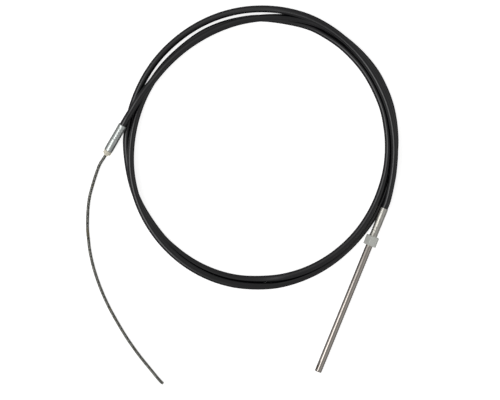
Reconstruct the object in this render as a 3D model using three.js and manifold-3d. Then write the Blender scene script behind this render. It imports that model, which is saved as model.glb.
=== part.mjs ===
// A boat steering cable lying coiled on a flat surface.
// Millimetres, +Z up. Seen from above, +X is right and +Y is up, with the helm end
// at the left and the output end, with its nut and steel ram, at the lower right.
import * as THREE from 'three';
import { mergeVertices } from 'three/addons/utils/BufferGeometryUtils.js';
import Module from 'manifold-3d';

const wasm = await Module();
wasm.setup();

// Conduit: the outer jacket, and the coil that it lies in
const conduitDiameter = 16;
const coilRadius = 300;
const strandGap = 0.8;
const conduitSides = 12;
const conduitSteps = 150;

// Fit: the space left around a piece that sits or runs in another
const fit = 0.3;

// Helm end: crimped ferrule, nylon bushing and the bare drive core
const ferruleDiameter = 20.2;
const ferruleLength = 68.7;
const ferruleSocketDepth = 44;
const ferruleChamfer = 0.9;
const bushingBodyDiameter = 19;
const bushingBodyLength = 5.8;
const bushingFlangeDiameter = 19.6;
const bushingFlangeLength = 1.6;
const bushingNoseDiameter = 15;
const bushingNoseTipDiameter = 10.6;
const bushingNoseLength = 3.8;
const bushingSpigotDiameter = 14;
const bushingSpigotLength = 7;
const coreDiameter = 8;
const coreSides = 10;
const coreSteps = 40;

// Output end: support tube, guide tube, coupling nut and ram
const tubeDiameter = 17.8;
const tubeLength = 68.7;
const tubeSocketDepth = 32;
const tubeChamfer = 0.4;
const retainerDiameter = 20;
const retainerLength = 3;
const guideDiameter = 11;
const guideBoreDiameter = 8;
const guideSeatDepth = 22;
const nutAcrossFlats = 28;
const nutLength = 23;
const nutBackWall = 5;
const nutChamfer = 3.4;
const ramDiameter = 15.875;
const ramReach = 312.3;
const tipSolidLength = 30;
const tipFlatLength = 25;
const tipThickness = 12;
const tipHoleDiameter = 9.9;
const tipHoleSetback = 10;
const tipChamfer = 1.4;

// Crimped bands, pressed into the ferrule and the support tube
const crimpWidth = 3.4;
const crimpPitch = 6.4;
const crimpDepth = 0.45;
const ferruleCrimps = 5;
const ferruleCrimpStart = 9;
const tubeCrimps = 3;
const tubeCrimpEnd = 4;

// Where the two rigid ends lie on the coil: angle in degrees counter-clockwise from +X,
// distance outside the coil radius in strand widths, and heading along the cable
const helmAngle = 170.6;
const helmRing = 1.387;
const helmHeading = 59.7;
const helmNeighbourRing = 0.7;
const outputAngle = -746.2;
const outputRing = 0.626;
const outputHeading = -112.1;
const outputNeighbourRing = -0.09;
const straightLead = 15;

// Roll of the hexagon and of the tip about the output axis, from sideways, in degrees
const nutRoll = 40.5;
const tipRoll = 150;

// The conduit's way round the coil, clockwise from the helm end, as a list of
// [angle, distance outside the coil radius, height above the surface], the last two
// in strand widths
const conduitRoute = [
  [165, 0.76, 1.03], [160, 0.37, 1.08], [155, 0.03, 1.05], [150, -0.27, 1],
  [140, -0.54, 1], [130, -0.64, 1], [120, -0.64, 1], [110, -0.53, 1],
  [100, -0.34, 1], [90, -0.13, 1], [80, 0.2, 0.98], [75, 0.4, 0.88],
  [70, 0.56, 0.77], [65, 0.66, 0.68], [60, 0.7, 0.55], [52, 0.69, 0.33],
  [44, 0.71, 0.02], [36, 0.73, 0], [30, 0.68, 0], [20, 0.55, 0],
  [10, 0.35, 0], [0, 0.18, 0], [-10, 0, 0], [-20, -0.07, 0],
  [-30, -0.1, 0], [-40, -0.09, 0], [-50, 0.05, 0], [-60, 0.27, 0],
  [-70, 0.51, 0], [-80, 0.75, 0], [-88, 0.9, 0.1], [-100, 1.02, 0.46],
  [-110, 1.07, 0.56], [-120, 1.04, 0.68], [-130, 0.95, 0.8], [-140, 0.83, 0.91],
  [-150, 0.68, 0.98], [-160, 0.5, 1], [-170, 0.28, 0.96], [-180, 0.04, 0.82],
  [-190, -0.14, 0.61], [-200, -0.24, 0.25], [-208, -0.29, 0.02], [-216, -0.33, 0],
  [-225, -0.37, 0], [-240, -0.23, 0], [-250, -0.15, 0], [-260, -0.14, 0],
  [-270, -0.13, 0], [-290, -0.12, 0], [-300, -0.19, 0], [-310, -0.27, 0],
  [-324, -0.42, 0], [-340, -0.57, 0], [-350, -0.68, 0.15], [-360, -0.74, 0.38],
  [-370, -0.77, 0.62], [-380, -0.79, 0.75], [-390, -0.73, 0.84], [-400, -0.63, 0.86],
  [-410, -0.52, 0.83], [-420, -0.39, 0.77], [-430, -0.25, 0.66], [-440, -0.13, 0.49],
  [-449, -0.06, 0.1], [-460, 0.13, 0], [-470, 0.24, 0], [-480, 0.3, 0],
  [-490, 0.33, 0], [-500, 0.38, 0], [-520, 0.53, 0], [-540, 0.67, 0],
  [-550, 0.72, 0], [-560, 0.76, 0], [-570, 0.83, 0], [-580, 0.91, 0],
  [-590, 0.96, 0.03], [-600, 1.03, 0.16], [-610, 1.09, 0.4], [-620, 1.11, 0.75],
  [-630, 1.09, 1.15], [-640, 1.05, 1.54], [-650, 0.97, 1.72], [-660, 0.78, 1.61],
  [-670, 0.57, 1.34], [-680, 0.38, 1.06], [-690, 0.22, 0.97], [-700, 0.16, 0.97],
  [-710, 0.12, 1], [-720, 0.12, 1.04], [-730, 0.2, 1.07], [-736, 0.31, 1],
];

// The bare core's way from the tip of the bushing's nose, as a list of
// [right, up, share left of the nose's height above the lying core]
const coreRoute = [
  [-13.6, -21.4, 0.6], [-18.4, -33.1, 0.34], [-23.2, -46.8, 0.14], [-29.2, -66.1, 0.02],
  [-36.9, -94.8, 0], [-40.3, -120.3, 0], [-41.6, -147.3, 0], [-41.6, -170.3, 0],
  [-39.5, -193.2, 0], [-36.9, -216.1, 0], [-32.4, -238.9, 0], [-26.6, -261.9, 0],
  [-19.2, -284.8, 0], [-10.6, -307.8, 0], [-1.3, -329.4, 0], [10.6, -353.9, 0],
  [36.7, -399.8, 0], [51.1, -422.6, 0], [67, -445.5, 0], [84.2, -468.1, 0],
  [102.6, -490.5, 0], [121.2, -513.1, 0], [131.4, -523.6, 0],
];

const coilPitch = conduitDiameter + strandGap;
const lyingHeight = conduitDiameter / 2;
const sleeveBore = conduitDiameter + 2 * fit;
const coreBore = coreDiameter + 2 * fit;

const materials = {
  jacket: { color: 0x17181b, roughness: 0.42, metalness: 0 },
  crimpedSteel: { color: 0xb9b9b5, roughness: 0.34, metalness: 1 },
  nylon: { color: 0xe6dfc6, roughness: 0.5, metalness: 0 },
  coreSteel: { color: 0x77756d, roughness: 0.45, metalness: 1 },
  zincSteel: { color: 0xc9cabf, roughness: 0.32, metalness: 1 },
  stainless: { color: 0xb5aea4, roughness: 0.22, metalness: 1 },
};

function piece(name, geometry, material) {
  const mesh = new THREE.Mesh(geometry, new THREE.MeshStandardMaterial(materials[material]));
  mesh.name = name;
  return mesh;
}

function coilPoint(angle, ring, lift) {
  const radius = coilRadius + ring * coilPitch;
  const turn = THREE.MathUtils.degToRad(angle);
  const height = lyingHeight + lift * coilPitch;
  return new THREE.Vector3(radius * Math.cos(turn), radius * Math.sin(turn), height);
}

// How high the axis of a round end lies above the surface at its mouth, where it
// rests on the strand that runs below it and to one side
function restingHeight(diameter, ringsAside) {
  const apart = (diameter + conduitDiameter) / 2 + strandGap;
  const aside = ringsAside * coilPitch;
  return lyingHeight + Math.sqrt(Math.max(apart ** 2 - aside ** 2, 0));
}

// The slope at which a rigid end comes down from that height, until its far rim
// touches the surface
function restingSlope(height, length, diameter) {
  const radius = diameter / 2;
  return Math.asin(height / Math.hypot(length, radius)) - Math.atan2(radius, length);
}

// A unit vector with a heading in the plan, in degrees, that points down by a slope
function downward(heading, slope) {
  const turn = THREE.MathUtils.degToRad(heading);
  const level = Math.cos(slope);
  return new THREE.Vector3(level * Math.cos(turn), level * Math.sin(turn), -Math.sin(slope));
}

// A group whose +Z runs along the axis of a rigid end, with +Y upward
function alongAxis(origin, direction) {
  const side = new THREE.Vector3(0, 0, 1).cross(direction).normalize();
  const top = direction.clone().cross(side);
  const group = new THREE.Group();
  group.quaternion.setFromRotationMatrix(new THREE.Matrix4().makeBasis(side, top, direction));
  group.position.copy(origin);
  return group;
}

// A body of revolution about +Z from a closed outline of [radius, distance] pairs
function turned(outline, sides) {
  const points = [...outline, outline[0]].map(([radius, along]) => new THREE.Vector2(radius, along));
  return new THREE.LatheGeometry(points, sides).rotateX(Math.PI / 2);
}

function roundSection(diameter, sides) {
  const corners = [];
  for (let i = 0; i < sides; i += 1) {
    const turn = (i / sides) * 2 * Math.PI;
    corners.push(new THREE.Vector2(Math.cos(turn), Math.sin(turn)).multiplyScalar(diameter / 2));
  }
  return new THREE.Shape(corners);
}

function tubeAlong(points, diameter, sides, steps) {
  const extrudePath = new THREE.CatmullRomCurve3(points, false, 'centripetal');
  return new THREE.ExtrudeGeometry(roundSection(diameter, sides), { steps, extrudePath });
}

function solid(geometry) {
  const bare = geometry.clone();
  bare.deleteAttribute('normal');
  bare.deleteAttribute('uv');
  const merged = mergeVertices(bare, 1e-4);
  const mesh = new wasm.Mesh({
    numProp: 3,
    vertProperties: new Float32Array(merged.attributes.position.array),
    triVerts: new Uint32Array(merged.index.array),
  });
  return new wasm.Manifold(mesh);
}

function geometryOf(body) {
  const mesh = body.getMesh();
  const geometry = new THREE.BufferGeometry();
  geometry.setAttribute('position', new THREE.BufferAttribute(new Float32Array(mesh.vertProperties), 3));
  geometry.setIndex(new THREE.BufferAttribute(new Uint32Array(mesh.triVerts), 1));
  geometry.computeVertexNormals();
  return geometry;
}

// Outline points of shallow pressed bands along an outside wall
function crimps(radius, start, count) {
  const outline = [];
  const flank = crimpDepth;
  for (let i = 0; i < count; i += 1) {
    const from = start + i * crimpPitch;
    outline.push([radius, from]);
    outline.push([radius - crimpDepth, from + flank]);
    outline.push([radius - crimpDepth, from + crimpWidth - flank]);
    outline.push([radius, from + crimpWidth]);
  }
  return outline;
}

// Where the helm end lies: its mouth, where the conduit leaves, is the group's origin
const noseLength = bushingBodyLength + bushingFlangeLength + bushingNoseLength;
const noseTip = ferruleLength + fit + noseLength;
const rimDistance = noseTip - bushingNoseLength;
const helmHeight = restingHeight(ferruleDiameter, helmRing - helmNeighbourRing);
const helmSlope = restingSlope(helmHeight, rimDistance, bushingFlangeDiameter);
const helmMouth = coilPoint(helmAngle, helmRing, 0).setZ(helmHeight);
const helmDirection = downward(helmHeading + 180, helmSlope);

// Where the output end lies: again its mouth is the group's origin
const nutStart = tubeLength;
const retainerStart = nutStart + nutBackWall + fit;
const ramStart = retainerStart + retainerLength + fit;
const ramEnd = nutStart + nutLength + ramReach;
const outputHeight = restingHeight(tubeDiameter, outputRing - outputNeighbourRing);
const outputSlope = restingSlope(outputHeight, ramEnd - tipChamfer, ramDiameter);
const outputMouth = coilPoint(outputAngle, outputRing, 0).setZ(outputHeight);
const outputDirection = downward(outputHeading, outputSlope);

function onAxis(mouth, direction, distance) {
  return mouth.clone().addScaledVector(direction, distance);
}

// Conduit, with each end straight in its sleeve
function conduitJacket() {
  const points = [
    onAxis(helmMouth, helmDirection, ferruleSocketDepth - fit),
    helmMouth,
    onAxis(helmMouth, helmDirection, -straightLead),
    ...conduitRoute.map(([angle, ring, lift]) => coilPoint(angle, ring, lift)),
    onAxis(outputMouth, outputDirection, -straightLead),
    outputMouth,
    onAxis(outputMouth, outputDirection, tubeSocketDepth - fit),
  ];
  const geometry = tubeAlong(points, conduitDiameter, conduitSides, conduitSteps);
  return piece('conduit_jacket', geometry, 'jacket');
}

// Ferrule: a steel sleeve crimped on the conduit, with a seat for the bushing
function helmFerrule() {
  const outer = ferruleDiameter / 2;
  const seatBore = bushingSpigotDiameter / 2 + fit;
  const seatStart = ferruleLength - bushingSpigotLength - fit;
  const outline = [
    [sleeveBore / 2, 0],
    [outer - ferruleChamfer, 0],
    [outer, ferruleChamfer],
    ...crimps(outer, ferruleCrimpStart, ferruleCrimps),
    [outer, ferruleLength - ferruleChamfer],
    [outer - ferruleChamfer, ferruleLength],
    [seatBore, ferruleLength],
    [seatBore, seatStart],
    [coreBore / 2, seatStart],
    [coreBore / 2, ferruleSocketDepth],
    [sleeveBore / 2, ferruleSocketDepth],
  ];
  return piece('helm_ferrule', turned(outline, 32), 'crimpedSteel');
}

// Bushing: nylon, with a spigot in the ferrule, a thin rim and a short nose
function helmBushing() {
  const shoulder = ferruleLength + fit;
  const rimStart = shoulder + bushingBodyLength;
  const outline = [
    [coreBore / 2, shoulder - fit - bushingSpigotLength],
    [bushingSpigotDiameter / 2, shoulder - fit - bushingSpigotLength],
    [bushingSpigotDiameter / 2, shoulder],
    [bushingBodyDiameter / 2, shoulder],
    [bushingBodyDiameter / 2, rimStart],
    [bushingFlangeDiameter / 2, rimStart],
    [bushingFlangeDiameter / 2, rimDistance],
    [bushingNoseDiameter / 2, rimDistance],
    [bushingNoseTipDiameter / 2, noseTip],
    [coreBore / 2, noseTip],
  ];
  return piece('helm_bushing', turned(outline, 32), 'nylon');
}

// Drive core: from the conduit's end through the ferrule and the bushing, then bare
function steeringCore() {
  const nose = onAxis(helmMouth, helmDirection, noseTip);
  const lyingCore = coreDiameter / 2;
  const bare = coreRoute.map(([right, up, share]) => {
    const height = lyingCore + share * (nose.z - lyingCore);
    return new THREE.Vector3(nose.x + right, nose.y + up, height);
  });
  const points = [
    onAxis(helmMouth, helmDirection, ferruleSocketDepth),
    onAxis(helmMouth, helmDirection, (ferruleSocketDepth + noseTip) / 2),
    nose,
    ...bare,
  ];
  return piece('steering_core', tubeAlong(points, coreDiameter, coreSides, coreSteps), 'coreSteel');
}

// Support tube: crimped on the conduit, with a retainer inside the coupling nut
function supportTube() {
  const outer = tubeDiameter / 2;
  const guideSeat = guideDiameter / 2 + fit;
  const end = retainerStart + retainerLength;
  const seatEnd = end - guideSeatDepth - fit;
  const crimpStart = tubeLength - tubeCrimpEnd - tubeCrimps * crimpPitch;
  const outline = [
    [sleeveBore / 2, 0],
    [outer - tubeChamfer, 0],
    [outer, tubeChamfer],
    ...crimps(outer, crimpStart, tubeCrimps),
    [outer, retainerStart],
    [retainerDiameter / 2, retainerStart],
    [retainerDiameter / 2, end],
    [guideSeat, end],
    [guideSeat, seatEnd],
    [guideBoreDiameter / 2, seatEnd],
    [guideBoreDiameter / 2, tubeSocketDepth],
    [sleeveBore / 2, tubeSocketDepth],
  ];
  return piece('support_tube', turned(outline, 32), 'crimpedSteel');
}

// Guide tube: seated in the support tube, with the ram sliding over it
function guideTube() {
  const start = retainerStart + retainerLength - guideSeatDepth;
  const end = ramEnd - tipSolidLength - fit;
  const outline = [
    [guideBoreDiameter / 2, start],
    [guideDiameter / 2, start],
    [guideDiameter / 2, end],
    [guideBoreDiameter / 2, end],
  ];
  return piece('guide_tube', turned(outline, 24), 'crimpedSteel');
}

// Coupling nut: a hexagon with its corners cut back at the end towards the coil
function couplingNut() {
  const corner = nutAcrossFlats / 2 / Math.cos(Math.PI / 6);
  const hexagon = new THREE.Shape();
  for (let i = 0; i < 6; i += 1) {
    const turn = THREE.MathUtils.degToRad(nutRoll + i * 60);
    hexagon[i === 0 ? 'moveTo' : 'lineTo'](corner * Math.cos(turn), corner * Math.sin(turn));
  }
  const prism = new THREE.ExtrudeGeometry(hexagon, { depth: nutLength, bevelEnabled: false });
  const shank = tubeDiameter / 2 + fit;
  const thread = retainerDiameter / 2 + fit;
  const open = nutLength;
  const bored = turned([
    [shank, 0],
    [nutAcrossFlats / 2 - fit, 0],
    [corner + fit, nutChamfer],
    [corner + fit, open],
    [thread, open],
    [thread, nutBackWall],
    [shank, nutBackWall],
  ], 48);
  const geometry = geometryOf(solid(prism).intersect(solid(bored)));
  const nut = piece('coupling_nut', geometry, 'zincSteel');
  nut.position.z = nutStart;
  return nut;
}

// Ram: a bored steel rod whose tip has two flats and a cross hole for the drag link
function outputRam() {
  const outer = ramDiameter / 2;
  const length = ramEnd - ramStart;
  const bore = guideDiameter / 2 + fit;
  const boreEnd = length - tipSolidLength;
  const rod = turned([
    [bore, 0],
    [outer, 0],
    [outer, length - tipChamfer],
    [outer - tipChamfer, length],
    [0, length],
    [0, boreEnd],
    [bore, boreEnd],
  ], 32);
  const cutWidth = 2 * ramDiameter;
  const flat = new THREE.BoxGeometry(ramDiameter, cutWidth, tipFlatLength + ramDiameter);
  const flatMiddle = length - tipFlatLength / 2 + ramDiameter / 2;
  const flatOffset = (tipThickness + ramDiameter) / 2;
  const hole = new THREE.CylinderGeometry(tipHoleDiameter / 2, tipHoleDiameter / 2, cutWidth, 24)
    .rotateZ(Math.PI / 2)
    .translate(0, 0, length - tipHoleSetback);
  let body = solid(rod).subtract(solid(hole.rotateZ(THREE.MathUtils.degToRad(tipRoll))));
  for (const side of [-1, 1]) {
    const cut = flat.clone()
      .translate(side * flatOffset, 0, flatMiddle)
      .rotateZ(THREE.MathUtils.degToRad(tipRoll));
    body = body.subtract(solid(cut));
  }
  const ram = piece('output_ram', geometryOf(body), 'stainless');
  ram.position.z = ramStart;
  return ram;
}

const helmEnd = alongAxis(helmMouth, helmDirection);
helmEnd.add(helmFerrule(), helmBushing());

const outputEnd = alongAxis(outputMouth, outputDirection);
outputEnd.add(supportTube(), guideTube(), couplingNut(), outputRam());

// The origin is on the surface, under the middle of the cable as it lies
const cable = new THREE.Group();
cable.add(conduitJacket(), steeringCore(), helmEnd, outputEnd);
cable.updateMatrixWorld(true);
const outside = new THREE.Box3().setFromObject(cable, true);
const middle = outside.getCenter(new THREE.Vector3());
cable.position.set(-middle.x, -middle.y, -outside.min.z);

export default cable;
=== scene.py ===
import math

import bmesh
import bpy
from mathutils import Matrix, Vector


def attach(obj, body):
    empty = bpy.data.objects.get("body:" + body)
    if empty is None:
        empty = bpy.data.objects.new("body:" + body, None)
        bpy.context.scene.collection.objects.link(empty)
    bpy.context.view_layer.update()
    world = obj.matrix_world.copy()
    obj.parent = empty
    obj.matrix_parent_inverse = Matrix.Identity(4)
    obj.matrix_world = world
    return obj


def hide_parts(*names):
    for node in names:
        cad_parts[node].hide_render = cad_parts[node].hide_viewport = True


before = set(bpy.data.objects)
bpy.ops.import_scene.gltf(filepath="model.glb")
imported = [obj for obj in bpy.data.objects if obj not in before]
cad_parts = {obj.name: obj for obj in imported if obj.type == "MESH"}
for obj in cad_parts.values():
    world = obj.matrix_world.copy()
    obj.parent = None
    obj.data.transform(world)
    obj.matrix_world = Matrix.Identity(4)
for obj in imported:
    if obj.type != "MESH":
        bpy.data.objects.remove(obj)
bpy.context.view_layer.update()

# Camera, surface and light: the cable is looked at from straight above, lying on a
# pale surface under a wide soft light that leans to the left, as in a studio.
MM = 0.001
VIEW_MIDDLE = (18 * MM, -10.5 * MM)
VIEW_WIDTH = 1145 * MM
CAMERA_HEIGHT = 10
SENSOR_WIDTH = 36

camera_data = bpy.data.cameras.new("camera")
camera_data.sensor_width = SENSOR_WIDTH
camera_data.lens = SENSOR_WIDTH * CAMERA_HEIGHT / VIEW_WIDTH
camera_data.clip_end = 30
camera = bpy.data.objects.new("camera", camera_data)
camera.location = (*VIEW_MIDDLE, CAMERA_HEIGHT)
bpy.context.scene.collection.objects.link(camera)
bpy.context.scene.camera = camera
bpy.context.scene.view_settings.view_transform = "Standard"


class Socket:
    """One output of a shader node, with the sums that the materials below use."""

    def __init__(self, tree, link):
        self.tree = tree
        self.link = link

    def node(self, kind, settings=None, inputs=None, output=0):
        made = self.tree.nodes.new(kind)
        for name, value in (settings or {}).items():
            if name == "stops":
                ramp = made.color_ramp
                while len(ramp.elements) < len(value):
                    ramp.elements.new(0.5)
                for element, (place, colour) in zip(ramp.elements, value):
                    element.position = place
                    element.color = (*colour, 1)
            else:
                setattr(made, name, value)
        for name, value in (inputs or {}).items():
            if isinstance(value, Socket):
                self.tree.links.new(value.link, made.inputs[name])
            else:
                made.inputs[name].default_value = value
        return Socket(self.tree, made.outputs[output])

    def maths(self, operation, first, second=0.0):
        return self.node("ShaderNodeMath", {"operation": operation}, {0: first, 1: second})

    def __add__(self, other):
        return self.maths("ADD", self, other)

    def __radd__(self, other):
        return self.maths("ADD", other, self)

    def __sub__(self, other):
        return self.maths("SUBTRACT", self, other)

    def __rsub__(self, other):
        return self.maths("SUBTRACT", other, self)

    def __mul__(self, other):
        return self.maths("MULTIPLY", self, other)

    def __rmul__(self, other):
        return self.maths("MULTIPLY", other, self)

    def step(self, low, high):
        """0 up to low and 1 from high on, with a smooth way between."""
        inputs = {"Value": self, "From Min": low, "From Max": high}
        return self.node("ShaderNodeMapRange", {"interpolation_type": "SMOOTHSTEP"}, inputs)

    def mix(self, first, second):
        """The colour first where this is 0, and second where it is 1."""
        inputs = {0: self, 6: first, 7: second}
        return self.node("ShaderNodeMix", {"data_type": "RGBA"}, inputs, output=2)

    def noise(self, scale, detail=2.0, roughness=0.5):
        """Soft noise between 0 and 1 at the places that this vector gives."""
        inputs = {"Vector": self, "Scale": scale, "Detail": detail, "Roughness": roughness}
        return self.node("ShaderNodeTexNoise", inputs=inputs)

    def stretched(self, scale):
        """The places that this vector gives, scaled on each axis."""
        return self.node("ShaderNodeMapping", inputs={"Vector": self, "Scale": scale})

    def bump(self, strength, distance):
        inputs = {"Height": self, "Strength": strength, "Distance": distance}
        return self.node("ShaderNodeBump", inputs=inputs)


def new_material(name, **constant):
    """A material with its numbers set, and a socket to make its patterns from."""
    material = bpy.data.materials.new(name)
    material.use_nodes = True
    tree = material.node_tree
    shader = tree.nodes["Principled BSDF"]
    for label, value in constant.items():
        shader.inputs[label.replace("_", " ")].default_value = value
    coordinates = tree.nodes.new("ShaderNodeTexCoord")
    return material, Socket(tree, coordinates.outputs["Object"]), Socket(tree, coordinates.outputs["UV"])


def feed(material, **sockets):
    """Link patterns to the material's shader."""
    tree = material.node_tree
    shader = tree.nodes["Principled BSDF"]
    for label, socket in sockets.items():
        tree.links.new(socket.link, shader.inputs[label.replace("_", " ")])


FLOOR_HALF = 6
floor_mesh = bpy.data.meshes.new("surface")
corners = [(-1, -1), (1, -1), (1, 1), (-1, 1)]
floor_mesh.from_pydata([(x * FLOOR_HALF, y * FLOOR_HALF, 0) for x, y in corners], [], [(0, 1, 2, 3)])
floor_material, floor_place, _ = new_material(
    "pale_surface", Roughness=0.9, Emission_Color=(1, 1, 1, 1), Emission_Strength=0.75
)
feed(floor_material, Base_Color=floor_place.noise(3).mix((0.93, 0.93, 0.93, 1), (0.95, 0.95, 0.95, 1)))
floor_mesh.materials.append(floor_material)
surface = bpy.data.objects.new("surface", floor_mesh)
bpy.context.scene.collection.objects.link(surface)

# The room is even and dim. One soft box stands high on the left, towards the front, with
# a weak wide one about it, and a third on the right. The surface isn't seen in the
# metal, as with a black flag below.
ROOM_UPPER = 0.28
ROOM_LOWER = 0.2
KEY_BOX = 2.2
FILL_BOX = 0.3
RIGHT_BOX = 0.2
surface.visible_glossy = False
world = bpy.data.worlds.new("studio")
world.use_nodes = True
bpy.context.scene.world = world
world_tree = world.node_tree
direction = Socket(world_tree, world_tree.nodes.new("ShaderNodeTexCoord").outputs["Generated"])
parts = world_tree.nodes.new("ShaderNodeSeparateXYZ")
world_tree.links.new(direction.link, parts.inputs[0])
east, north, up = (Socket(world_tree, parts.outputs[i]) for i in range(3))
height = up.maths("MAXIMUM", up, 0.02)
across = east.maths("DIVIDE", east, height)
along = east.maths("DIVIDE", north, height)


def soft_box(power, west, right, south, back, fall):
    """A soft box in the plane above, between its four sides, with a slope outside each."""
    wide = across.step(west - fall, west) * (1 - across.step(right, right + fall))
    deep = along.step(south - fall, south) * (1 - along.step(back, back + fall))
    return wide * deep * up.step(0, 0.06) * power


brightness = up.step(-0.02, 0.2) * (ROOM_UPPER - ROOM_LOWER) + ROOM_LOWER
brightness = brightness + soft_box(KEY_BOX, -0.8, -0.55, -0.85, 0.3, 0.2)
brightness = brightness + soft_box(FILL_BOX, -2.6, -0.4, -1.2, 1, 0.5)
brightness = brightness + soft_box(RIGHT_BOX, 1.3, 2.6, -1.2, 1.2, 1)
background = world_tree.nodes["Background"]
background.inputs["Color"].default_value = (1, 1, 1, 1)
world_tree.links.new(brightness.link, background.inputs["Strength"])

# Conduit: a black plastic jacket extruded over steel wires, coiled two and a half
# times. Its route repeats the solid's: [angle, strand widths out, strand widths up].
JACKET = 16
COIL_RADIUS = 300
STRAND_GAP = 0.8
PITCH = JACKET + STRAND_GAP
COIL_MIDDLE = Vector((46.6, 107.665, 0.181))
FIT = 0.3
STRAIGHT_LEAD = 15
JACKET_STEP = 6.5
JACKET_SIDES = 28
STEPS_A_ROW = 24
CONDUIT_ROUTE = [
    (165, 0.76, 1.03), (160, 0.37, 1.08), (155, 0.03, 1.05), (150, -0.27, 1),
    (140, -0.54, 1), (130, -0.64, 1), (120, -0.64, 1), (110, -0.53, 1),
    (100, -0.34, 1), (90, -0.13, 1), (80, 0.2, 0.98), (75, 0.4, 0.88),
    (70, 0.56, 0.77), (65, 0.66, 0.68), (60, 0.7, 0.55), (52, 0.69, 0.33),
    (44, 0.71, 0.02), (36, 0.73, 0), (30, 0.68, 0), (20, 0.55, 0),
    (10, 0.35, 0), (0, 0.18, 0), (-10, 0, 0), (-20, -0.07, 0),
    (-30, -0.1, 0), (-40, -0.09, 0), (-50, 0.05, 0), (-60, 0.27, 0),
    (-70, 0.51, 0), (-80, 0.75, 0), (-88, 0.885, 0.1), (-100, 1.02, 0.46),
    (-110, 1.07, 0.56), (-120, 1.04, 0.68), (-130, 0.95, 0.8), (-140, 0.83, 0.91),
    (-150, 0.68, 0.98), (-160, 0.5, 1), (-170, 0.28, 0.96), (-180, 0.04, 0.82),
    (-190, -0.14, 0.61), (-200, -0.24, 0.25), (-208, -0.29, 0.02), (-216, -0.33, 0),
    (-225, -0.37, 0), (-240, -0.23, 0), (-250, -0.15, 0), (-260, -0.14, 0),
    (-270, -0.13, 0), (-290, -0.12, 0), (-300, -0.19, 0), (-310, -0.27, 0),
    (-324, -0.42, 0), (-340, -0.57, 0), (-350, -0.68, 0.15), (-360, -0.74, 0.38),
    (-370, -0.77, 0.62), (-380, -0.79, 0.75), (-390, -0.73, 0.84), (-400, -0.63, 0.86),
    (-410, -0.52, 0.83), (-420, -0.39, 0.77), (-430, -0.25, 0.66), (-440, -0.13, 0.49),
    (-449, -0.058, 0.1), (-460, 0.13, 0), (-470, 0.24, 0), (-480, 0.3, 0),
    (-490, 0.33, 0), (-500, 0.38, 0), (-520, 0.53, 0), (-540, 0.67, 0),
    (-550, 0.72, 0), (-560, 0.76, 0), (-570, 0.83, 0), (-580, 0.91, 0),
    (-590, 0.96, 0.03), (-600, 1.03, 0.16), (-610, 1.09, 0.4), (-620, 1.11, 0.75),
    (-630, 1.09, 1.15), (-640, 1.05, 1.54), (-650, 0.97, 1.72), (-660, 0.78, 1.61),
    (-670, 0.57, 1.34), (-680, 0.38, 1.06), (-690, 0.22, 0.97), (-700, 0.16, 0.97),
    (-710, 0.12, 1), (-720, 0.12, 1.04), (-730, 0.2, 1.07), (-736, 0.31, 1),
]

# The mouths of the two rigid ends, and the ways that they point
HELM_MOUTH = Vector((-272.361, 160.468, 23.147))
HELM_WAY = Vector((-0.496804, -0.850179, -0.174302))
OUTPUT_MOUTH = Vector((325.213, -29.43, 21.165))
OUTPUT_WAY = Vector((-0.376027, -0.926042, -0.032417))
HELM_SOCKET = 44
OUTPUT_SOCKET = 32


def coil_point(angle, ring, lift):
    radius = COIL_RADIUS + ring * PITCH
    turn = math.radians(angle)
    height = JACKET / 2 + lift * PITCH
    return COIL_MIDDLE + Vector((radius * math.cos(turn), radius * math.sin(turn), height))


def smooth_route(points, spacing):
    """Even points on the smooth curve through the given ones, straight at both ends."""
    ghosts = [2 * points[0] - points[1], *points, 2 * points[-1] - points[-2]]
    fine = []
    for i in range(1, len(ghosts) - 2):
        before, start, end, after = ghosts[i - 1:i + 3]
        gaps = [math.sqrt((b - a).length) for a, b in ((before, start), (start, end), (end, after))]
        t0 = (start - before) / gaps[0] - (end - before) / (gaps[0] + gaps[1]) + (end - start) / gaps[1]
        t1 = (end - start) / gaps[1] - (after - start) / (gaps[1] + gaps[2]) + (after - end) / gaps[2]
        t0 *= gaps[1]
        t1 *= gaps[1]
        for step in range(STEPS_A_ROW):
            t = step / STEPS_A_ROW
            fine.append(
                (2 * t ** 3 - 3 * t ** 2 + 1) * start + (t ** 3 - 2 * t ** 2 + t) * t0
                + (3 * t ** 2 - 2 * t ** 3) * end + (t ** 3 - t ** 2) * t1
            )
    fine.append(points[-1])
    length = sum((b - a).length for a, b in zip(fine, fine[1:]))
    count = max(2, round(length / spacing))
    even = [fine[0]]
    travelled = 0.0
    wanted = length / count
    for a, b in zip(fine, fine[1:]):
        stretch = (b - a).length
        while travelled + stretch >= wanted * len(even) - 1e-9 and len(even) < count:
            even.append(a.lerp(b, (wanted * len(even) - travelled) / stretch))
        travelled += stretch
    even.append(fine[-1])
    return even


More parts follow.
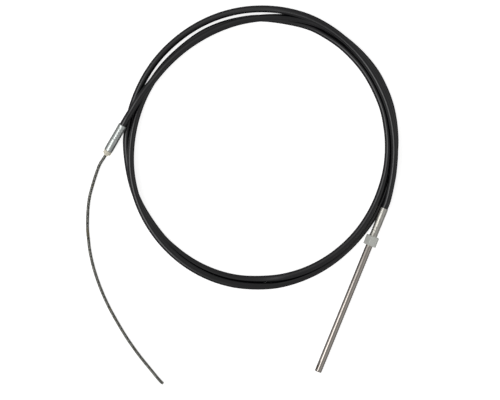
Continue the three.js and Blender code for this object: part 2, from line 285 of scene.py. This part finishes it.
def rings_along(route, radius, sides):
    """A closed tube on a route in millimetres, with UVs in metres along and turns round."""
    mesh = bmesh.new()
    uv_layer = mesh.loops.layers.uv.new("UVMap")
    last = len(route) - 1
    tangents = [(route[min(i + 1, last)] - route[max(i - 1, 0)]).normalized() for i in range(len(route))]
    side = tangents[0].cross(Vector((0, 0, 1))).normalized()
    rings = []
    along = [0.0]
    for i, centre in enumerate(route):
        tangent = tangents[i]
        side = (side - tangent * side.dot(tangent)).normalized()
        top = side.cross(tangent)
        ring = []
        for j in range(sides):
            turn = 2 * math.pi * j / sides
            out = side * math.cos(turn) + top * math.sin(turn)
            ring.append(mesh.verts.new((centre + radius * out) * MM))
        rings.append(ring)
        if i:
            along.append(along[-1] + (centre - route[i - 1]).length * MM)
    for i in range(len(rings) - 1):
        for j in range(sides):
            k = (j + 1) % sides
            face = mesh.faces.new((rings[i][j], rings[i + 1][j], rings[i + 1][k], rings[i][k]))
            places = [(along[i], j), (along[i + 1], j), (along[i + 1], j + 1), (along[i], j + 1)]
            for loop, (u, v) in zip(face.loops, places):
                loop[uv_layer].uv = (u, v / sides)
    mesh.faces.new(rings[0])
    mesh.faces.new(list(reversed(rings[-1])))
    bmesh.ops.recalc_face_normals(mesh, faces=mesh.faces)
    made = bpy.data.meshes.new("tube")
    mesh.to_mesh(made)
    mesh.free()
    return made


def smooth_object(name, mesh, material, sharp_degrees=35):
    """A piece from a finished mesh, smooth except where its faces meet at a sharp edge."""
    mesh.materials.clear()
    mesh.materials.append(material)
    mesh.polygons.foreach_set("use_smooth", [True] * len(mesh.polygons))
    mesh.set_sharp_from_angle(angle=math.radians(sharp_degrees))
    piece = bpy.data.objects.new(name, mesh)
    bpy.context.scene.collection.objects.link(piece)
    return piece


conduit_points = [
    HELM_MOUTH + HELM_WAY * (HELM_SOCKET - FIT),
    HELM_MOUTH,
    HELM_MOUTH - HELM_WAY * STRAIGHT_LEAD,
    *[coil_point(*row) for row in CONDUIT_ROUTE],
    OUTPUT_MOUTH - OUTPUT_WAY * STRAIGHT_LEAD,
    OUTPUT_MOUTH,
    OUTPUT_MOUTH + OUTPUT_WAY * (OUTPUT_SOCKET - FIT),
]
conduit_line = smooth_route(conduit_points, JACKET_STEP)

jacket_material, jacket_place, jacket_uv = new_material("jacket_black", Specular_IOR_Level=0.85)
# Along the jacket: drawing lines from the die, scuffs and a little dust
die_lines = jacket_uv.stretched((3, 46, 1)).noise(1.0, 3, 0.6)
scuffs = jacket_uv.stretched((38, 7, 1)).noise(1.4, 4, 0.65)
patches = jacket_place.noise(9, 2)
dust = scuffs.step(0.6, 0.8) * 0.35
jacket_colour = patches.mix((0.001, 0.0025, 0.0025, 1), (0.004, 0.002, 0.005, 1))
feed(
    jacket_material,
    Base_Color=dust.mix(jacket_colour, (0.03, 0.031, 0.03, 1)),
    Roughness=0.11 + patches * 0.06 + scuffs * 0.1,
    Normal=(die_lines * 0.6 + scuffs * 0.4).bump(0.15, 0.0004),
)
jacket_mesh = rings_along(conduit_line, JACKET / 2, JACKET_SIDES)
jacket = smooth_object("jacket", jacket_mesh, jacket_material, 60)
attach(jacket, "cable")
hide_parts("conduit_jacket")

# Ferrule: a plated steel sleeve, crimped on the jacket in five pressed bands, with
# small chamfers at its two mouths.
FERRULE = 20.2
FERRULE_LENGTH = 68.7
FERRULE_CHAMFER = 0.9
FERRULE_CRIMPS = 5
FERRULE_CRIMP_START = 9
CRIMP_WIDTH = 3.4
CRIMP_PITCH = 6.4
CRIMP_DEPTH = 0.45
SLEEVE_BORE = JACKET + 2 * FIT
CORE = 8
CORE_BORE = CORE + 2 * FIT
SPIGOT = 14
SPIGOT_LENGTH = 7
TURNED_SIDES = 96


def on_end(mouth, way):
    """The place of a rigid end: its +Z along the end's axis, its +Y upward."""
    side = Vector((0, 0, 1)).cross(way).normalized()
    top = way.cross(side)
    turned = Matrix((side, top, way)).transposed().to_4x4()
    return Matrix.Translation(mouth * MM) @ turned @ Matrix.Scale(MM, 4)


def rounded(outline, radius):
    """The closed outline with its corners eased, by three points at each."""
    eased = []
    for i, corner in enumerate(outline):
        corner = Vector(corner)
        before = Vector(outline[i - 1]) - corner
        after = Vector(outline[(i + 1) % len(outline)]) - corner
        reach = min(radius, before.length * 0.4, after.length * 0.4)
        start = corner + before.normalized() * reach
        end = corner + after.normalized() * reach
        eased += [start, (start + end) / 4 + corner / 2, end]
    return eased


def turned_piece(name, outline, place, material, easing=0.35, sharp=40):
    """A body of revolution from a closed outline of (radius, distance along)."""
    mesh = bmesh.new()
    uv_layer = mesh.loops.layers.uv.new("UVMap")
    profile = rounded(outline, easing)
    rings = []
    for radius, along in profile:
        turns = [2 * math.pi * j / TURNED_SIDES for j in range(TURNED_SIDES)]
        rings.append([mesh.verts.new((radius * math.cos(t), radius * math.sin(t), along)) for t in turns])
    for i in range(len(rings)):
        lower, upper = rings[i], rings[(i + 1) % len(rings)]
        next_along = profile[(i + 1) % len(rings)][1]
        for j in range(TURNED_SIDES):
            k = (j + 1) % TURNED_SIDES
            face = mesh.faces.new((lower[j], lower[k], upper[k], upper[j]))
            ends = (profile[i][1], profile[i][1], next_along, next_along)
            for loop, u, v in zip(face.loops, ends, (j, j + 1, j + 1, j)):
                loop[uv_layer].uv = (u * MM, v / TURNED_SIDES)
    bmesh.ops.recalc_face_normals(mesh, faces=mesh.faces)
    made = bpy.data.meshes.new(name)
    mesh.transform(place)
    mesh.to_mesh(made)
    mesh.free()
    return smooth_object(name, made, material, sharp)


def crimps(radius, start, count):
    outline = []
    for i in range(count):
        low = start + i * CRIMP_PITCH
        outline += [
            (radius, low),
            (radius - CRIMP_DEPTH, low + CRIMP_DEPTH),
            (radius - CRIMP_DEPTH, low + CRIMP_WIDTH - CRIMP_DEPTH),
            (radius, low + CRIMP_WIDTH),
        ]
    return outline


def plated_steel(name, pale, dull, roughness):
    """Plated steel with fine turning lines round it, dull patches and small dents."""
    material, place, uv = new_material(name, Metallic=1.0)
    lines = uv.stretched((900, 4, 1)).noise(1.0, 2, 0.6)
    patches = place.noise(120, 3, 0.6)
    dents = place.noise(310, 2)
    grime = patches.step(0.5, 0.78) * 0.7
    feed(
        material,
        Base_Color=grime.mix(pale, dull),
        Roughness=roughness + patches * 0.16 + lines * 0.06,
        Normal=(dents * 0.7 + lines * 0.3).bump(0.25, 0.0003),
    )
    return material


ferrule_steel = plated_steel("ferrule_plate", (0.78, 0.82, 0.8, 1), (0.44, 0.47, 0.45, 1), 0.24)
helm_place = on_end(HELM_MOUTH, HELM_WAY)
seat_start = FERRULE_LENGTH - SPIGOT_LENGTH - FIT
ferrule = turned_piece("ferrule", [
    (SLEEVE_BORE / 2, 0),
    (FERRULE / 2 - FERRULE_CHAMFER, 0),
    (FERRULE / 2, FERRULE_CHAMFER),
    *crimps(FERRULE / 2, FERRULE_CRIMP_START, FERRULE_CRIMPS),
    (FERRULE / 2, FERRULE_LENGTH - FERRULE_CHAMFER),
    (FERRULE / 2 - FERRULE_CHAMFER, FERRULE_LENGTH),
    (SPIGOT / 2 + FIT, FERRULE_LENGTH),
    (SPIGOT / 2 + FIT, seat_start),
    (CORE_BORE / 2, seat_start),
    (CORE_BORE / 2, HELM_SOCKET),
    (SLEEVE_BORE / 2, HELM_SOCKET),
], helm_place, ferrule_steel)
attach(ferrule, "cable")
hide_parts("helm_ferrule")

# Bushing: moulded cream nylon, pressed into the ferrule by its spigot. The thin rim
# seats in the helm, and the core comes out of the short nose.
BODY, BODY_LENGTH = 19, 5.8
RIM, RIM_LENGTH = 19.6, 1.6
NOSE, NOSE_TIP, NOSE_LENGTH = 15, 10.6, 3.8
shoulder = FERRULE_LENGTH + FIT
rim_start = shoulder + BODY_LENGTH
rim_end = rim_start + RIM_LENGTH
nose_tip = rim_end + NOSE_LENGTH
nylon, nylon_place, _ = new_material("cream_nylon")
nylon_tone = nylon_place.noise(160, 3)
feed(
    nylon,
    Base_Color=nylon_tone.mix((0.95, 0.91, 0.77, 1), (0.86, 0.8, 0.63, 1)),
    Roughness=0.36 + nylon_tone * 0.16,
    Normal=nylon_place.noise(700, 2).bump(0.12, 0.0002),
)
bushing = turned_piece("bushing", [
    (CORE_BORE / 2, shoulder - FIT - SPIGOT_LENGTH),
    (SPIGOT / 2, shoulder - FIT - SPIGOT_LENGTH),
    (SPIGOT / 2, shoulder),
    (BODY / 2, shoulder),
    (BODY / 2, rim_start),
    (RIM / 2, rim_start),
    (RIM / 2, rim_end),
    (NOSE / 2, rim_end),
    (NOSE_TIP / 2, nose_tip),
    (CORE_BORE / 2, nose_tip),
], helm_place, nylon)
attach(bushing, "cable")
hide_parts("helm_bushing")

# Drive core: steel wire with a second wire wound round it as a worm, which the
# helm's gear turns in. It is greased, and its bare end is ground off square.
CORE_BODY = 6.2
WINDING_WIRE = 1.7
WINDING_PITCH = 2.9
WINDING_STEPS = 12
CORE_STEP = 2.2
CORE_SIDES = 16
WIRE_SIDES = 6
CORE_ROUTE = [
    (-13.6, -21.4, 0.6), (-18.4, -33.1, 0.34), (-23.2, -46.8, 0.14), (-29.2, -66.1, 0.02),
    (-36.9, -94.8, 0), (-40.3, -120.3, 0), (-41.6, -147.3, 0), (-41.6, -170.3, 0),
    (-39.5, -193.2, 0), (-36.9, -216.1, 0), (-32.4, -238.9, 0), (-26.6, -261.9, 0),
    (-19.2, -284.8, 0), (-10.6, -307.8, 0), (-1.3, -329.4, 0), (10.6, -353.9, 0),
    (36.7, -399.8, 0), (51.1, -422.6, 0), (67, -445.5, 0), (84.2, -468.1, 0),
    (102.6, -490.5, 0), (121.2, -513.1, 0), (131.4, -523.6, 0),
]
nose_end = HELM_MOUTH + HELM_WAY * nose_tip
lying = COIL_MIDDLE.z + CORE / 2
core_points = [
    HELM_MOUTH + HELM_WAY * HELM_SOCKET,
    HELM_MOUTH + HELM_WAY * ((HELM_SOCKET + nose_tip) / 2),
    nose_end,
    *[nose_end + Vector((x, y, (1 - share) * (lying - nose_end.z))) for x, y, share in CORE_ROUTE],
]
core_line = smooth_route(core_points, CORE_STEP)

core_steel, core_place, _ = new_material("core_wire", Metallic=0.9)
wire_tone = core_place.noise(260, 3, 0.6).step(0.38, 0.62)
grease = core_place.noise(55, 3, 0.6).step(0.52, 0.72) * wire_tone.step(0.35, 0.65)
core_colour = wire_tone.mix((0.09, 0.09, 0.08, 1), (0.42, 0.42, 0.38, 1))
feed(
    core_steel,
    Base_Color=grease.mix(core_colour, (0.36, 0.28, 0.1, 1)),
    Roughness=0.24 + wire_tone * 0.2,
    Normal=core_place.noise(1500, 2).bump(0.2, 0.0002),
)


def finished(piece):
    """The piece with its modifiers worked into a plain mesh."""
    evaluated = piece.evaluated_get(bpy.context.evaluated_depsgraph_get())
    mesh = bpy.data.meshes.new_from_object(evaluated)
    piece.modifiers.clear()
    if piece.type == "MESH":
        piece.data = mesh
        return piece
    made = bpy.data.objects.new(piece.name + "_mesh", mesh)
    bpy.context.scene.collection.objects.link(made)
    bpy.data.objects.remove(piece)
    return made


def winding_tree(name):
    """Geometry nodes that wind a round wire about a curve, as a mesh with its ends closed."""
    tree = bpy.data.node_groups.new(name, "GeometryNodeTree")
    tree.interface.new_socket("Geometry", in_out="INPUT", socket_type="NodeSocketGeometry")
    for label, kind in (
        ("Radius", "NodeSocketFloat"),
        ("Wire Radius", "NodeSocketFloat"),
        ("Pitch", "NodeSocketFloat"),
        ("Points", "NodeSocketInt"),
        ("Material", "NodeSocketMaterial"),
    ):
        tree.interface.new_socket(label, in_out="INPUT", socket_type=kind)
    tree.interface.new_socket("Geometry", in_out="OUTPUT", socket_type="NodeSocketGeometry")
    nodes, links = tree.nodes, tree.links
    given = nodes.new("NodeGroupInput")
    result = nodes.new("NodeGroupOutput")

    def add(kind, **settings):
        made = nodes.new(kind)
        for label, value in settings.items():
            setattr(made, label, value)
        return made

    resample = add("GeometryNodeResampleCurve", mode="COUNT")
    links.new(given.outputs["Geometry"], resample.inputs["Curve"])
    links.new(given.outputs["Points"], resample.inputs["Count"])
    travelled = add("GeometryNodeSplineParameter")
    turns = add("ShaderNodeMath", operation="DIVIDE")
    links.new(travelled.outputs["Length"], turns.inputs[0])
    links.new(given.outputs["Pitch"], turns.inputs[1])
    angle = add("ShaderNodeMath", operation="MULTIPLY")
    links.new(turns.outputs[0], angle.inputs[0])
    angle.inputs[1].default_value = 2 * math.pi
    out = add("ShaderNodeVectorRotate", rotation_type="AXIS_ANGLE")
    normal = add("GeometryNodeInputNormal")
    tangent = add("GeometryNodeInputTangent")
    links.new(normal.outputs[0], out.inputs["Vector"])
    links.new(tangent.outputs[0], out.inputs["Axis"])
    links.new(angle.outputs[0], out.inputs["Angle"])
    offset = add("ShaderNodeVectorMath", operation="SCALE")
    links.new(out.outputs[0], offset.inputs[0])
    links.new(given.outputs["Radius"], offset.inputs["Scale"])
    moved = add("GeometryNodeSetPosition")
    links.new(resample.outputs[0], moved.inputs["Geometry"])
    links.new(offset.outputs[0], moved.inputs["Offset"])
    section = add("GeometryNodeCurvePrimitiveCircle")
    section.inputs["Resolution"].default_value = WIRE_SIDES
    links.new(given.outputs["Wire Radius"], section.inputs["Radius"])
    tube = add("GeometryNodeCurveToMesh")
    tube.inputs["Fill Caps"].default_value = True
    links.new(moved.outputs[0], tube.inputs["Curve"])
    links.new(section.outputs[0], tube.inputs["Profile Curve"])
    realize = add("GeometryNodeRealizeInstances")
    links.new(tube.outputs[0], realize.inputs[0])
    painted = add("GeometryNodeSetMaterial")
    links.new(realize.outputs[0], painted.inputs["Geometry"])
    links.new(given.outputs["Material"], painted.inputs["Material"])
    links.new(painted.outputs[0], result.inputs[0])
    return tree


def wound_wire(name, line, radius, wire, pitch, steps_a_turn, material):
    """A wire wound about a line in millimetres."""
    curve = bpy.data.curves.new(name, "CURVE")
    curve.dimensions = "3D"
    curve.twist_mode = "MINIMUM"
    spline = curve.splines.new("POLY")
    spline.points.add(len(line) - 1)
    for point, place in zip(spline.points, line):
        point.co = (*(place * MM), 1)
    carrier = bpy.data.objects.new(name, curve)
    bpy.context.scene.collection.objects.link(carrier)
    modifier = carrier.modifiers.new("winding", "NODES")
    modifier.node_group = winding_nodes
    length = sum((b - a).length for a, b in zip(line, line[1:]))
    values = {
        "Radius": radius * MM,
        "Wire Radius": wire / 2 * MM,
        "Pitch": pitch * MM,
        "Points": round(length / pitch * steps_a_turn),
        "Material": material,
    }
    for item in winding_nodes.interface.items_tree:
        if item.in_out == "INPUT" and item.name in values:
            modifier[item.identifier] = values[item.name]
    wound = finished(carrier)
    wound.name = name
    wound.data.polygons.foreach_set("use_smooth", [True] * len(wound.data.polygons))
    return wound


winding_nodes = winding_tree("winding")
core_body = smooth_object("core", rings_along(core_line, CORE_BODY / 2, CORE_SIDES), core_steel, 60)
winding = wound_wire(
    "core_winding", core_line[1:-1], (CORE - WINDING_WIRE) / 2, WINDING_WIRE,
    WINDING_PITCH, WINDING_STEPS, core_steel
)
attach(core_body, "cable")
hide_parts("steering_core")
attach(winding, "cable")
core_length = sum((b - a).length for a, b in zip(core_line, core_line[1:])) * MM
tuple(core_line[0] * MM)
[tuple(p * MM) for p in core_line]

# Support tube: plated steel, swaged on the jacket at the output end, with three
# pressed bands above the nut and a retainer that the nut draws against.
TUBE = 17.8
TUBE_LENGTH = 68.7
TUBE_CHAMFER = 0.4
TUBE_CRIMPS = 3
TUBE_CRIMP_END = 4
RETAINER, RETAINER_LENGTH = 20, 3
GUIDE, GUIDE_BORE, GUIDE_SEAT = 11, 8, 22
NUT_BACK_WALL = 5
retainer_start = TUBE_LENGTH + NUT_BACK_WALL + FIT
retainer_end = retainer_start + RETAINER_LENGTH
output_place = on_end(OUTPUT_MOUTH, OUTPUT_WAY)
tube_steel = plated_steel("tube_plate", (0.78, 0.76, 0.7, 1), (0.46, 0.44, 0.38, 1), 0.24)
support_tube = turned_piece("swaged_tube", [
    (SLEEVE_BORE / 2, 0),
    (TUBE / 2 - TUBE_CHAMFER, 0),
    (TUBE / 2, TUBE_CHAMFER),
    *crimps(TUBE / 2, TUBE_LENGTH - TUBE_CRIMP_END - TUBE_CRIMPS * CRIMP_PITCH, TUBE_CRIMPS),
    (TUBE / 2, retainer_start),
    (RETAINER / 2, retainer_start),
    (RETAINER / 2, retainer_end),
    (GUIDE / 2 + FIT, retainer_end),
    (GUIDE / 2 + FIT, retainer_end - GUIDE_SEAT - FIT),
    (GUIDE_BORE / 2, retainer_end - GUIDE_SEAT - FIT),
    (GUIDE_BORE / 2, OUTPUT_SOCKET),
    (SLEEVE_BORE / 2, OUTPUT_SOCKET),
], output_place, tube_steel)
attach(support_tube, "cable")
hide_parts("support_tube")
# The conduit ends in this tube, so its length is summed here
conduit_length = sum((b - a).length for a, b in zip(conduit_line, conduit_line[1:])) * MM
tuple(conduit_line[0] * MM)
[tuple(p * MM) for p in conduit_line]

# Guide tube: drawn steel, seated in the support tube, with the ram sliding on it.
NUT_LENGTH = 23
RAM_REACH = 312.3
TIP_SOLID = 30
ram_end = TUBE_LENGTH + NUT_LENGTH + RAM_REACH
guide_steel = plated_steel("guide_drawn", (0.7, 0.7, 0.68, 1), (0.5, 0.5, 0.48, 1), 0.16)
guide_tube = turned_piece("inner_tube", [
    (GUIDE_BORE / 2, retainer_end - GUIDE_SEAT),
    (GUIDE / 2, retainer_end - GUIDE_SEAT),
    (GUIDE / 2, ram_end - TIP_SOLID - FIT),
    (GUIDE_BORE / 2, ram_end - TIP_SOLID - FIT),
], output_place, guide_steel)
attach(guide_tube, "cable")
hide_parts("guide_tube")

# Coupling nut: a forged hexagon in satin zinc, its corners turned back towards the
# coil, with a thread in its open end for the engine's tilt tube.
NUT_FLATS = 28
NUT_CHAMFER = 3.4
NUT_ROLL = 40.5
NUT_EDGE = 0.9
THREAD_PITCH = 1.81
THREAD_WIRE = 1.1
THREAD_STEPS = 48
THREAD_INSET = 5
THREAD_LIP = 1.5
nut_zinc, nut_place, _ = new_material("satin_zinc", Metallic=0.7)
zinc_tone = nut_place.noise(140, 3, 0.6)
feed(
    nut_zinc,
    Base_Color=zinc_tone.step(0.3, 0.75).mix((1, 1, 0.95, 1), (0.86, 0.9, 0.82, 1)),
    Roughness=0.22 + zinc_tone * 0.16,
    Normal=nut_place.noise(260, 3).bump(0.4, 0.0004),
)


def hexagon_reach(turn):
    """How far out the hexagon's side lies in a direction, in millimetres."""
    within = (math.degrees(turn) - NUT_ROLL) % 60
    return NUT_FLATS / 2 / math.cos(math.radians(within - 30))


def hexagon_nut():
    degrees = [60 * side + within for side in range(6) for within in range(0, 60, 5)]
    steps = [math.radians(NUT_ROLL + turn) for turn in degrees]
    corner = NUT_FLATS / 2 / math.cos(math.radians(30))
    back = NUT_FLATS / 2 - FIT
    slope = NUT_CHAMFER / (corner + FIT - back)
    shank = TUBE / 2 + FIT
    thread = RETAINER / 2 + FIT
    section_points = 8
    easing = 0.5
    mesh = bmesh.new()
    rings = [[] for _ in range(section_points)]
    for turn in steps:
        reach = hexagon_reach(turn)
        cut = (reach - back) * slope
        outline = [
            (shank, 0),
            (back, 0),
            (reach, cut),
            (reach, NUT_LENGTH - easing),
            (reach - easing, NUT_LENGTH),
            (thread, NUT_LENGTH),
            (thread, NUT_BACK_WALL),
            (shank, NUT_BACK_WALL),
        ]
        for ring, (radius, along) in zip(rings, outline):
            place = (radius * math.cos(turn), radius * math.sin(turn), TUBE_LENGTH + along)
            ring.append(mesh.verts.new(place))
    for i in range(section_points):
        lower, upper = rings[i], rings[(i + 1) % section_points]
        for j in range(len(steps)):
            k = (j + 1) % len(steps)
            mesh.faces.new((lower[j], lower[k], upper[k], upper[j]))
    bmesh.ops.recalc_face_normals(mesh, faces=mesh.faces)
    mesh.transform(output_place)
    made = bpy.data.meshes.new("nut")
    mesh.to_mesh(made)
    mesh.free()
    return made


nut = smooth_object("nut", hexagon_nut(), nut_zinc, 20)
edges = nut.modifiers.new("eased_edges", "BEVEL")
edges.width = NUT_EDGE * MM
edges.segments = 3
edges.limit_method = "ANGLE"
edges.angle_limit = math.radians(30)
finished(nut)

thread_start = TUBE_LENGTH + NUT_BACK_WALL + THREAD_INSET
thread_length = NUT_LENGTH - NUT_BACK_WALL - THREAD_INSET - THREAD_LIP
thread_line = [
    OUTPUT_MOUTH + OUTPUT_WAY * (thread_start + thread_length * i / 8) for i in range(9)
]
nut_thread = wound_wire(
    "nut_thread", thread_line, RETAINER / 2 + FIT, THREAD_WIRE, THREAD_PITCH, THREAD_STEPS, nut_zinc
)
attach(nut, "nut")
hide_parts("coupling_nut")
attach(nut_thread, "nut")

# Ram: a polished stainless tube that slides over the guide tube. Its solid tip has
# two milled flats and a cross hole for the drag link's bolt.
RAM = 15.875
TIP_FLAT_LENGTH = 25
TIP_THICKNESS = 12
TIP_ROLL = 150
TIP_HOLE = 9.9
TIP_SETBACK = 10
TIP_CHAMFER = 1.4
ram_start = retainer_end + FIT
stainless, ram_place, ram_uv = new_material("polished_stainless", Metallic=1.0)
handling = ram_place.noise(60, 3, 0.6)
polish = ram_uv.stretched((5, 60, 1)).noise(1.0, 3)
feed(
    stainless,
    Base_Color=handling.mix((0.68, 0.63, 0.58, 1), (0.57, 0.51, 0.46, 1)),
    Roughness=0.1 + handling * 0.08 + polish * 0.03,
    Normal=(polish * 0.2 + handling * 0.8).bump(0.03, 0.0003),
)
ram = turned_piece("ram", [
    (GUIDE / 2 + FIT, ram_start),
    (RAM / 2, ram_start),
    (RAM / 2, ram_end - TIP_CHAMFER),
    (RAM / 2 - TIP_CHAMFER, ram_end),
    (0.001, ram_end),
    (0.001, ram_end - TIP_SOLID),
    (GUIDE / 2 + FIT, ram_end - TIP_SOLID),
], output_place, stainless, 0.3)


def cutter(name, build, place):
    mesh = bmesh.new()
    build(mesh)
    mesh.transform(output_place @ place)
    made = bpy.data.meshes.new(name)
    mesh.to_mesh(made)
    mesh.free()
    tool = bpy.data.objects.new(name, made)
    bpy.context.scene.collection.objects.link(tool)
    cut = ram.modifiers.new(name, "BOOLEAN")
    cut.operation = "DIFFERENCE"
    cut.solver = "EXACT"
    cut.object = tool
    return tool


tip_turn = Matrix.Rotation(math.radians(TIP_ROLL), 4, "Z")
tools = []
for side in (-1, 1):
    size = Matrix.Diagonal((RAM, 2 * RAM, TIP_FLAT_LENGTH + RAM, 1))
    middle = (side * (TIP_THICKNESS + RAM) / 2, 0, ram_end - TIP_FLAT_LENGTH / 2 + RAM / 2)
    shift = Matrix.Translation(middle)
    tools.append(cutter("flat", lambda mesh: bmesh.ops.create_cube(mesh, size=1), tip_turn @ shift @ size))
upright = Matrix.Rotation(math.radians(90), 4, "Y")
hole_place = tip_turn @ Matrix.Translation((0, 0, ram_end - TIP_SETBACK)) @ upright
tools.append(cutter(
    "hole",
    lambda mesh: bmesh.ops.create_cone(
        mesh, cap_ends=True, segments=48, radius1=TIP_HOLE / 2, radius2=TIP_HOLE / 2, depth=2 * RAM
    ),
    hole_place,
))
finished(ram)
for tool in tools:
    bpy.data.objects.remove(tool)
ram.data.materials.clear()
ram.data.materials.append(stainless)
ram.data.set_sharp_from_angle(angle=math.radians(35))

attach(ram, "ram")
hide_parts("output_ram")
